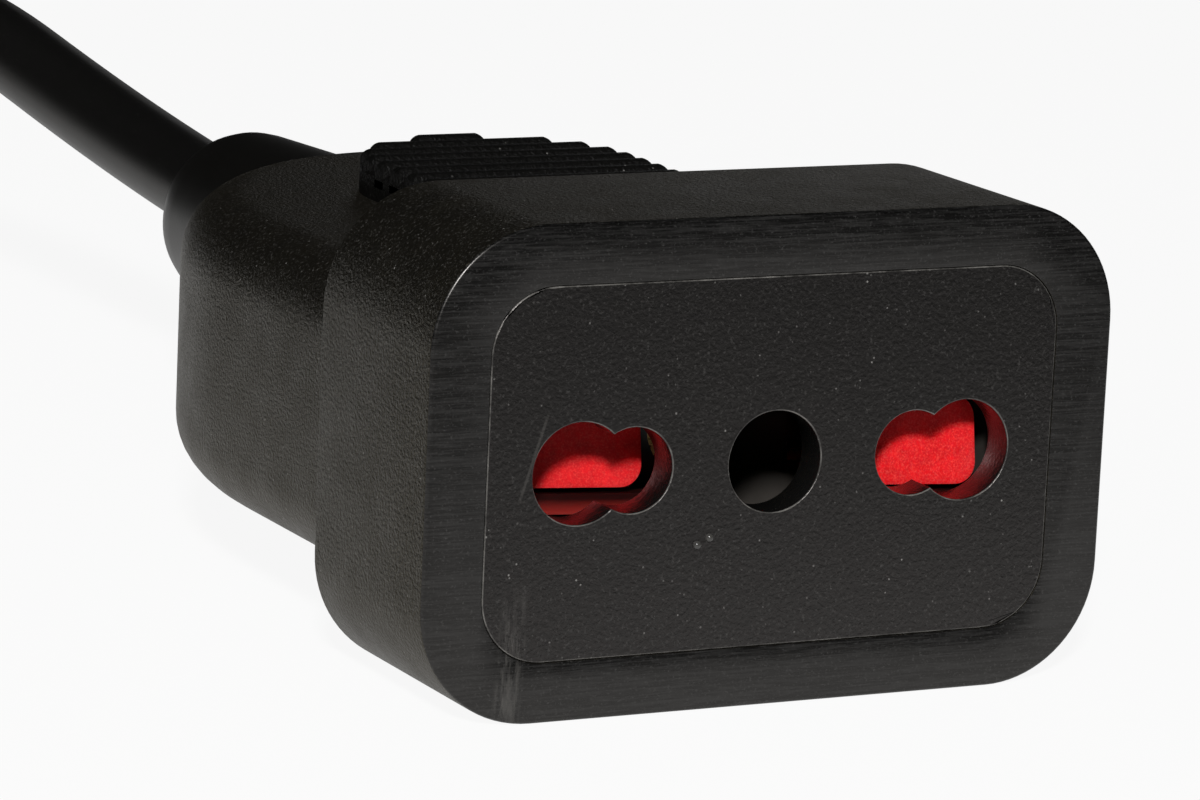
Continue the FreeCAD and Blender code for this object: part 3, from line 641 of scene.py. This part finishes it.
def shutter_plastic(name, tint):
    """Red plastic, mottled and gritty with partly painted sparkle; painted shade darkens the slot
    under the pads and dims the lips below.
    """
    known = bpy.data.materials.get(name)
    if known:
        return known
    material, tree, shader, place = open_material(name, roughness=0.34)
    clouds = noise(tree, place, scale=1100.0, detail=5.0, roughness=0.8)
    tone = reach(tree, clouds, low=0.3, high=0.7)
    mottled = mix_colour(tree, tone, shade(tint, 0.7), shade(tint, 1.08))
    # Pale specks: partly grit, partly painted sparkle of the red's sheen.
    grit = reach(tree, noise(tree, place, scale=8500.0, detail=3.0), low=0.45, high=0.75,
                 out_high=0.42)
    mottled = mix_colour(tree, grit, mottled, GRIT_AND_SPARKLE_RED)
    shader.inputs["Subsurface Weight"].default_value = 0.5
    shader.inputs["Subsurface Radius"].default_value = RED_SCATTER
    shader.inputs["Subsurface Scale"].default_value = 0.0016
    # Painted shade below the pads: dark just under them, fading to the dim red of the lips lower
    # down.
    parts = tree.nodes.new("ShaderNodeSeparateXYZ")
    tree.links.new(place, parts.inputs["Vector"])
    roll = combine(tree, "MULTIPLY", parts.outputs["X"], SHUTTER_ROLL)
    level = combine(tree, "ADD", parts.outputs["Z"], roll)
    lower = reach(tree, level, *LIP_SHADE_EDGE)
    lip = mix_colour(tree, lower, shade(tints().lip, 0.06), tints().lip)
    above = reach(tree, level, *SLOT_SHADE_TOP)
    tree.links.new(mix_colour(tree, above, lip, mottled), shader.inputs["Base Color"])
    grain = noise(tree, place, scale=3800.0, detail=3.0)
    bump(tree, shader, grain, strength=0.8, distance=0.000012)
    return material


def smooth_plastic(name, tint, roughness):
    """Smooth moulded plastic with a faintly uneven tone."""
    known = bpy.data.materials.get(name)
    if known:
        return known
    material, tree, shader, place = open_material(name, roughness)
    tone = reach(tree, noise(tree, place, scale=350.0, detail=3.0), low=0.3, high=0.7)
    tree.links.new(mix_colour(tree, tone, shade(tint, 0.85), shade(tint, 1.15)),
                   shader.inputs["Base Color"])
    ripple = noise(tree, place, scale=900.0, detail=3.0)
    bump(tree, shader, ripple, strength=0.15, distance=0.00002)
    return material


def worn_metal(name, tint, roughness, uneven=0.08):
    """Bare metal with drawn marks and uneven polish."""
    known = bpy.data.materials.get(name)
    if known:
        return known
    material, tree, shader, place = open_material(name, roughness, metallic=1.0)
    marks = streaked_noise(tree, place, (3000.0, 250.0, 3000.0), detail=3.0)
    tree.links.new(mix_colour(tree, marks, shade(tint, 0.8), shade(tint, 1.1)),
                   shader.inputs["Base Color"])
    rough = reach(tree, marks, low=0.3, high=0.7, out_low=roughness - uneven,
                  out_high=roughness + uneven)
    tree.links.new(rough, shader.inputs["Roughness"])
    bump(tree, shader, marks, strength=0.2, distance=0.00001)
    return material


def overmould_finish():
    """Black soft moulding."""
    return grained_plastic("overmould_grain", tints().overmould, roughness=0.46, fineness=1.25)


# Operators.
class ADAPTER_OT_front_block(bpy.types.Operator):
    """Front block with rounded corners and the face panel's recess"""

    bl_idname = "adapter.front_block"
    bl_label = "Front block"

    def execute(self, context):
        s = sizes()
        piece = block("front_block", middle=(0, face_y(s.block_depth / 2), axis_z()),
                      spans=(s.face_width, s.block_depth, s.face_height))
        pick(piece, "EDGE", along_y)
        round_edges(s.face_corner, steps=20)
        pick(piece, "EDGE", lambda at, run: abs(run.y) < NEAR)
        round_edges(s.rim_edge, steps=4)
        self.cut_recess(piece, s)
        face = face_y(0)
        wide = s.panel_width / 2 + 2 * s.seam
        tall = s.panel_height / 2 + 2 * s.seam

        def within(at):
            """Test for places inside the recess's outline."""
            return abs(at.x) < wide and abs(at.z - axis_z()) < tall

        def on_mouth(at, run):
            """Test for edges round the recess's mouth."""
            return within(at) and abs(at.y - face) < NEAR and abs(run.y) < NEAR

        pick(piece, "EDGE", on_mouth)
        round_edges(s.seam_edge, steps=2)
        bpy.ops.object.mode_set(mode="OBJECT")
        rim, recess = 1, 2
        for polygon in piece.data.polygons:
            at = polygon.center
            if within(at) and face + s.seam_edge < at.y < face + s.recess_depth + 10 * NEAR:
                polygon.material_index = recess
            elif at.y < face + s.rim_edge and polygon.normal.y < -FACING:
                polygon.material_index = rim
        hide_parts("socket_housing")
        recess_black = smooth_plastic("recess_black", shade(tints().inner, 0.3), roughness=0.3)
        finish(piece, [overmould_finish(), skimmed_plastic("rim_streaks", tints().rim),
                       recess_black])
        return {"FINISHED"}

    def cut_recess(self, piece, s):
        """Cut the panel's recess with a round-cornered block."""
        cutter = block("recess", middle=(0, face_y(0), axis_z()),
                       spans=(s.panel_width + 2 * s.seam, 2 * s.recess_depth,
                              s.panel_height + 2 * s.seam))
        pick(cutter, "EDGE", along_y)
        round_edges(s.panel_corner + s.seam, steps=16)
        select_only(piece)
        add_modifier(piece, "BOOLEAN", object=cutter, operation="DIFFERENCE", solver="EXACT")
        bpy.data.objects.remove(cutter)
        bpy.ops.object.mode_set(mode="EDIT")


def moulding_front(s):
    """Row-frame Y of the mouldings' near ends, in the wall behind the recess."""
    return face_y((s.recess_depth + s.block_depth) / 2)


def half_round(name, half, tall, centre, stretch, front):
    """Flat block with a round or elliptic far end and a straight near end at front."""
    bpy.ops.mesh.primitive_cylinder_add(vertices=144, radius=half, depth=tall, location=centre)
    piece = begin(name)
    middle = Vector(centre)
    pick(piece, "VERT", lambda at: at.y > middle.y + NEAR)
    bpy.ops.transform.resize(value=(1, stretch, 1), center_override=centre)
    pick(piece, "VERT", lambda at: at.y < middle.y - NEAR)
    bpy.ops.transform.resize(value=(1, 0, 1), center_override=centre)
    pick(piece, "FACE", lambda at, way: way.y < -ALONG)
    bpy.ops.mesh.extrude_region_move(
        TRANSFORM_OT_translate={"value": (0, front - middle.y, 0)})
    take_all()
    bpy.ops.mesh.dissolve_limited(angle_limit=math.radians(0.4))
    return piece


class ADAPTER_OT_round_body(bpy.types.Operator):
    """Round-ended body behind the front block"""

    bl_idname = "adapter.round_body"
    bl_label = "Round-ended body"

    def execute(self, context):
        s = sizes()
        clear_selection()
        half = s.body_width / 2
        centre = (0, face_y(s.body_tip - s.body_round), axis_z())
        front = moulding_front(s)
        piece = half_round("round_body", half, s.body_height, centre, s.body_round / half, front)
        rim = s.body_height / 2 - NEAR
        side = half - NEAR

        def on_rim(at, run):
            """Test for edges along the sides and round the end, on top and below."""
            level = abs(run.z) < LEVEL and abs(at.z - centre[2]) > rim
            straight = abs(at.x) > side and at.y > front + NEAR
            curved = at.y > centre[1] + NEAR
            return level and (straight or curved)

        pick(piece, "EDGE", on_rim)
        round_edges(s.body_edge, steps=10)
        finish(piece, [overmould_finish()], smooth=50)
        return {"FINISHED"}


class ADAPTER_OT_thumb_pad(bpy.types.Operator):
    """Thumb pad with ribs across it"""

    bl_idname = "adapter.thumb_pad"
    bl_label = "Thumb pad"

    def execute(self, context):
        s = sizes()
        clear_selection()
        half = s.pad_width / 2
        crest = axis_z() + s.body_height / 2 + s.pad_crest
        valley = crest - s.rib_height
        foot = axis_z()
        centre = (0, face_y(s.pad_end - half), (valley + foot) / 2)
        front = moulding_front(s)
        piece = half_round("thumb_pad", half, valley - foot, centre, 1.0, front)

        def on_top(at, run):
            """Test for the upper edges, but not at the near end."""
            return abs(run.z) < LEVEL and at.z > valley - NEAR and at.y > front + NEAR

        pick(piece, "EDGE", on_top)
        round_edges(s.pad_edge, steps=4)
        ribs = self.ribs(s, crest)
        select_only(piece)
        for rib in ribs:
            rib.select_set(True)
        bpy.ops.object.join()
        bpy.ops.object.mode_set(mode="EDIT")
        # The pad's colour is the overmould's darkened, as painted shade behind the front block.
        pad_finish = grained_plastic("thumb_pad_grain", shade(tints().overmould, 0.7),
                                     roughness=0.5, wear=0.008, specular=0.12,
                                     sheen_tone=PLAIN_SHEEN)
        finish(piece, [pad_finish], smooth=40)
        return {"FINISHED"}

    def ribs(self, s, crest):
        """One round-topped rib, copied towards the face with its ends on the pad's outline."""
        half = s.pad_width / 2
        last = s.pad_end - s.rib_setback
        count = int((last - s.block_depth) / s.rib_pitch) + 1
        tall = 2 * s.rib_height

        def reach_of(distance):
            """Half length of a rib at a distance from the face."""
            beyond = max(0.0, distance + s.rib_width / 2 - s.pad_end + half)
            return math.sqrt(half * half - beyond * beyond)

        first = block("rib", middle=(0, face_y(last), crest - tall / 2),
                      spans=(2 * reach_of(last), s.rib_width, tall))
        pick(first, "EDGE", lambda at, run: at.z > crest - NEAR)
        round_edges(0.45 * s.rib_width, steps=5)
        bpy.ops.object.mode_set(mode="OBJECT")
        ribs = [first]
        for step in range(1, count):
            rib = copy_of(first)
            bpy.ops.object.mode_set(mode="EDIT")
            take_all()
            bpy.ops.transform.translate(value=(0, -step * s.rib_pitch, 0))
            longer = reach_of(last - step * s.rib_pitch) - reach_of(last)
            for side in (1, -1):
                pick(rib, "VERT", lambda at: at.x * side > 0)
                bpy.ops.transform.translate(value=(side * longer, 0, 0))
            bpy.ops.object.mode_set(mode="OBJECT")
            ribs.append(rib)
        return ribs


class ADAPTER_OT_neck(bpy.types.Operator):
    """Strain-relief neck with a domed end and a small collar at the cord"""

    bl_idname = "adapter.neck"
    bl_label = "Strain-relief neck"

    def execute(self, context):
        s = sizes()
        clear_selection()
        height = axis_z() + s.neck_lift
        radius, distance = NECK_PROFILE[0]
        bpy.ops.mesh.primitive_circle_add(vertices=72, radius=radius,
                                          location=(0, face_y(distance), height),
                                          rotation=(math.radians(90), 0, 0))
        piece = begin("neck")
        take_all()
        for wide, at in NECK_PROFILE[1:]:
            bpy.ops.mesh.extrude_edges_move(
                TRANSFORM_OT_translate={"value": (0, at - distance, 0)})
            ratio = wide / radius
            bpy.ops.transform.resize(value=(ratio, 1, ratio),
                                     center_override=(0, face_y(at), height))
            radius, distance = wide, at
        take_all()
        bpy.ops.mesh.fill_holes(sides=0)
        take_all()
        bpy.ops.mesh.normals_make_consistent(inside=False)
        neck_finish = grained_plastic("neck_satin", shade(tints().overmould, 0.8), roughness=0.4,
                                      fineness=1.6, relief=0.000003, wear=0.008, dust=0.06,
                                      uneven=0.02, sheen_tone=SATIN_SHEEN)
        finish(piece, [neck_finish], smooth=60)
        return {"FINISHED"}


class ADAPTER_OT_face_panel(bpy.types.Operator):
    """Hard face panel with its holes"""

    bl_idname = "adapter.face_panel"
    bl_label = "Face panel"

    def execute(self, context):
        dress("face_panel", panel_plastic("panel_grain", tints().panel), edge=0.00012,
              clamp=False)
        self.nubs()
        return {"FINISHED"}

    def nubs(self):
        """Two small moulding nubs under the holes."""
        s = sizes()
        clear_selection()
        bpy.ops.mesh.primitive_uv_sphere_add(
            segments=24, ring_count=16, radius=s.nub_radius,
            location=(s.nub_across, face_y(0), axis_z() + s.nub_rise))
        first = begin("panel_nub")
        take_all()
        bpy.ops.mesh.bisect(plane_co=(0, face_y(s.nub_radius / 2), 0), plane_no=(0, 1, 0),
                            clear_outer=True, use_fill=True)
        # The nubs' pale colour is a painted highlight.
        finish(first, [smooth_plastic("nub_polish", tints().rubbed, roughness=0.2)])
        copy_of(first)
        second = begin("panel_nub_small")
        take_all()
        bpy.ops.transform.translate(value=(s.nub_gap, 0, s.nub_gap / 2))
        finish(second, [])


class ADAPTER_OT_shutter(bpy.types.Operator):
    """Red shutter"""

    bl_idname = "adapter.shutter"
    bl_label = "Shutter"

    def execute(self, context):
        dress("shutter", shutter_plastic("red_shutter_plastic", tints().shutter), edge=0.00025)
        return {"FINISHED"}


class ADAPTER_OT_springs(bpy.types.Operator):
    """Two coil springs"""

    bl_idname = "adapter.springs"
    bl_label = "Shutter springs"

    def execute(self, context):
        s = sizes()
        left, right = (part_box("shutter_spring_" + side) for side in ("left", "right"))
        steel = worn_metal("drawn_spring_steel", tints().steel, roughness=0.3)
        first = self.coil(s, self.height(left))
        second = copy_of(first)
        self.place(s, first, "left", left, 1.0, steel)
        self.place(s, second, "right", right, self.height(right) / self.height(left), steel)
        return {"FINISHED"}

    def height(self, box):
        """Height of a box."""
        return box[1][2] - box[0][2]

    def coil(self, s, tall):
        """Round wire wound up from the floor of the frame."""
        clear_selection()
        bpy.ops.mesh.primitive_circle_add(
            vertices=12, radius=s.spring_wire / 2,
            location=(s.spring_radius, 0, s.spring_wire / 2), rotation=(math.pi / 2, 0, 0))
        piece = begin("coil_spring")
        bpy.ops.object.mode_set(mode="OBJECT")
        add_modifier(piece, "SCREW", angle=2 * math.pi * SPRING_TURNS,
                     steps=TURN_STEPS * SPRING_TURNS, screw_offset=tall - s.spring_wire)
        bpy.ops.object.mode_set(mode="EDIT")
        bpy.ops.mesh.select_mode(type="EDGE")
        bpy.ops.mesh.select_all(action="DESELECT")
        bpy.ops.mesh.select_non_manifold()
        bpy.ops.mesh.fill_holes(sides=0)
        take_all()
        bpy.ops.mesh.normals_make_consistent(inside=False)
        bpy.ops.object.mode_set(mode="OBJECT")
        return piece

    def place(self, s, piece, side, box, stretch, steel):
        """Stand a coil in its node's box."""
        select_only(piece)
        begin("coil_spring_" + side)
        foot = ((box[0][0] + box[1][0]) / 2, (box[0][1] + box[1][1]) / 2, box[0][2])
        take_all()
        bpy.ops.transform.resize(value=(1, 1, stretch), center_override=(0, 0, 0))
        bpy.ops.transform.translate(value=foot)
        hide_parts("shutter_spring_" + side)
        finish(piece, [steel])
        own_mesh(piece)


class ADAPTER_OT_inner_pieces(bpy.types.Operator):
    """Contact carrier, contacts and insulated cores"""

    bl_idname = "adapter.inner_pieces"
    bl_label = "Inner pieces"

    def execute(self, context):
        dress("contact_carrier", smooth_plastic("carrier_black", tints().inner, roughness=0.22))
        brass = worn_metal("stamped_contact_brass", tints().brass, roughness=0.3)
        for pole in POLES:
            insulation = smooth_plastic(pole + "_insulation", getattr(tints(), pole + "_core"),
                                        roughness=0.4)
            dress(pole + "_contact", brass, edge=0.00008)
            dress(pole + "_wire", insulation)
            dress("plug_%s_wire" % pole, insulation)
        return {"FINISHED"}


class ADAPTER_OT_plug(bpy.types.Operator):
    """Inlet plug with its shroud, insert and pins"""

    bl_idname = "adapter.plug"
    bl_label = "Plug"

    def execute(self, context):
        dress("plug_housing", grained_plastic("plug_grain", tints().overmould, roughness=0.46),
              edge=0.0003)
        dress("plug_insert", smooth_plastic("insert_black", tints().inner, roughness=0.35),
              edge=0.0002)
        nickel = worn_metal("pin_nickel", tints().nickel, roughness=0.24)
        for pole in POLES:
            dress("plug_%s_pin" % pole, nickel, edge=0.0005)
        return {"FINISHED"}


class ADAPTER_OT_cord(bpy.types.Operator):
    """Round cord between the neck and the plug"""

    bl_idname = "adapter.cord"
    bl_label = "Cord"

    def execute(self, context):
        cord = context.scene.adapter_cord
        clear_selection()
        curve = bpy.data.curves.new("cord_sheath", "CURVE")
        curve.dimensions = "3D"
        curve.resolution_u = 24
        curve.bevel_depth = cord.diameter / 2
        curve.bevel_resolution = 10
        curve.use_fill_caps = True
        spline = curve.splines.new("NURBS")
        spline.points.add(len(CORD_ROUTE) - 1)
        for point, place in zip(spline.points, CORD_ROUTE):
            point.co = (*place, 1.0)
        spline.order_u = 3
        spline.use_endpoint_u = True
        piece = bpy.data.objects.new("cord_sheath", curve)
        context.collection.objects.link(piece)
        curve.materials.append(grained_plastic(
            "sheath_satin", tints().sheath, roughness=0.4, fineness=2.0, relief=0.000002,
            wear=0.006, dust=0.05, uneven=0.01, sheen_tone=SATIN_SHEEN))
        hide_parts("cord")
        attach(piece, BODY)
        return {"FINISHED"}


class ADAPTER_OT_stage(bpy.types.Operator):
    """Floor, room light, lamps and camera"""

    bl_idname = "adapter.stage"
    bl_label = "Stage"

    def execute(self, context):
        stage = context.scene.adapter_stage
        clear_selection()
        bpy.ops.mesh.primitive_plane_add(size=FLOOR_SIZE, location=(0, 0, 0))
        floor = begin("floor")
        bpy.ops.object.mode_set(mode="OBJECT")
        floor.data.materials.append(self.floor_finish(stage))
        self.room(context.scene, stage)
        self.tent()
        self.lamp("front_lamp", *FRONT_LAMP, stage.front_power)
        self.lamp("back_lamp", *BACK_LAMP, stage.back_power)
        camera_data = bpy.data.cameras.new("camera")
        camera_data.sensor_fit = "HORIZONTAL"
        camera_data.sensor_width = SENSOR_WIDTH
        camera_data.lens = stage.lens
        camera_data.clip_start = CLIP_START
        camera = bpy.data.objects.new("camera", camera_data)
        context.collection.objects.link(camera)
        camera.location = stage.camera_place
        camera.rotation_euler = Euler(stage.camera_turn)
        context.scene.camera = camera
        context.scene.view_settings.view_transform = "Standard"
        return {"FINISHED"}

    def seen_directly(self, tree):
        """Mask of camera, glossy and transmission rays."""
        rays = tree.nodes.new("ShaderNodeLightPath")
        glossy = combine(tree, "MAXIMUM", rays.outputs["Is Glossy Ray"],
                         rays.outputs["Is Transmission Ray"])
        return combine(tree, "MAXIMUM", rays.outputs["Is Camera Ray"], glossy)

    def tent(self):
        """Dark cloth all round, so that black plastic mirrors the table and little else."""
        bpy.ops.mesh.primitive_uv_sphere_add(segments=48, ring_count=24, radius=TENT_RADIUS)
        cloth = begin("dark_tent")
        bpy.ops.object.mode_set(mode="OBJECT")
        material, _, shader, _ = open_material("dark_cloth", roughness=1.0, specular=0.0)
        shader.inputs["Base Color"].default_value = (*TENT_TONE, 1.0)
        cloth.data.materials.append(material)
        cloth.visible_camera = False

    def floor_finish(self, stage):
        """Pale table that looks white, keeps a trace of shadow and is mirrored white close by."""
        material, tree, shader, place = open_material("pale_table", roughness=0.9, specular=0.1)
        shader.inputs["Base Color"].default_value = (*tints().floor, 1.0)
        white = tree.nodes.new("ShaderNodeEmission")
        away = tree.nodes.new("ShaderNodeVectorMath")
        away.operation = "DISTANCE"
        tree.links.new(place, away.inputs[0])
        away.inputs[1].default_value = stage.sheet_middle
        sheet = reach(tree, away.outputs["Value"], stage.sheet_near, stage.sheet_far,
                      SHEET_BRIGHT, SHEET_DARK)
        rays = tree.nodes.new("ShaderNodeLightPath")
        tree.links.new(combine(tree, "MAXIMUM", sheet, rays.outputs["Is Camera Ray"]),
                       white.inputs["Strength"])
        mixed = tree.nodes.new("ShaderNodeMixShader")
        tree.links.new(combine(tree, "MULTIPLY", self.seen_directly(tree), TABLE_WHITE),
                       mixed.inputs["Fac"])
        tree.links.new(shader.outputs["BSDF"], mixed.inputs[1])
        tree.links.new(white.outputs["Emission"], mixed.inputs[2])
        tree.links.new(mixed.outputs["Shader"], tree.nodes["Material Output"].inputs["Surface"])
        return material

    def room(self, scene, stage):
        """White background with a plain level of light from all round."""
        world = bpy.data.worlds.new("studio")
        scene.world = world
        world.use_nodes = True
        tree = world.node_tree
        dim = tree.nodes["Background"]
        dim.inputs["Color"].default_value = (1.0, 1.0, 1.0, 1.0)
        dim.inputs["Strength"].default_value = stage.fill
        white = tree.nodes.new("ShaderNodeBackground")
        white.inputs["Strength"].default_value = 1.0
        mixed = tree.nodes.new("ShaderNodeMixShader")
        tree.links.new(self.seen_directly(tree), mixed.inputs["Fac"])
        tree.links.new(dim.outputs["Background"], mixed.inputs[1])
        tree.links.new(white.outputs["Background"], mixed.inputs[2])
        tree.links.new(mixed.outputs["Shader"], tree.nodes["World Output"].inputs["Surface"])

    def lamp(self, name, place, wide, power):
        """Square soft lamp that looks at the socket."""
        data = bpy.data.lights.new(name, "AREA")
        data.size = wide
        data.energy = power
        lamp = bpy.data.objects.new(name, data)
        bpy.context.collection.objects.link(lamp)
        lamp.location = place
        ray = Vector(LAMP_AIM) - Vector(place)
        lamp.rotation_euler = ray.to_track_quat("-Z", "Y").to_euler()


class ADAPTER_PT_panel(bpy.types.Panel):
    """Steps that build the adapter cable"""

    bl_idname = "ADAPTER_PT_panel"
    bl_label = "Adapter cable"
    bl_space_type = "VIEW_3D"
    bl_region_type = "UI"
    bl_category = "Adapter"

    def draw(self, context):
        for step in STEPS:
            self.layout.operator(step.bl_idname)


GROUPS = {
    "adapter_socket": SocketSizes,
    "adapter_cord": CordSizes,
    "adapter_finishes": Finishes,
    "adapter_stage": StageSizes,
}
STEPS = (ADAPTER_OT_stage, ADAPTER_OT_cord, ADAPTER_OT_front_block, ADAPTER_OT_round_body,
         ADAPTER_OT_thumb_pad, ADAPTER_OT_neck, ADAPTER_OT_face_panel, ADAPTER_OT_shutter,
         ADAPTER_OT_springs, ADAPTER_OT_inner_pieces, ADAPTER_OT_plug)


def register():
    """Register the settings, the operators and the panel."""
    for name, group in GROUPS.items():
        bpy.utils.register_class(group)
        setattr(bpy.types.Scene, name, bpy.props.PointerProperty(type=group))
    for step in (*STEPS, ADAPTER_PT_panel):
        bpy.utils.register_class(step)


def unregister():
    """Remove what register added."""
    for step in (ADAPTER_PT_panel, *reversed(STEPS)):
        bpy.utils.unregister_class(step)
    for name, group in GROUPS.items():
        delattr(bpy.types.Scene, name)
        bpy.utils.unregister_class(group)


def main():
    """Build the adapter cable step by step."""
    register()
    bpy.ops.adapter.stage()
    bpy.ops.adapter.cord()
    bpy.ops.adapter.front_block()
    bpy.ops.adapter.round_body()
    bpy.ops.adapter.thumb_pad()
    bpy.ops.adapter.neck()
    bpy.ops.adapter.face_panel()
    bpy.ops.adapter.shutter()
    bpy.ops.adapter.springs()
    bpy.ops.adapter.inner_pieces()
    bpy.ops.adapter.plug()


if __name__ == "__main__":
    main()
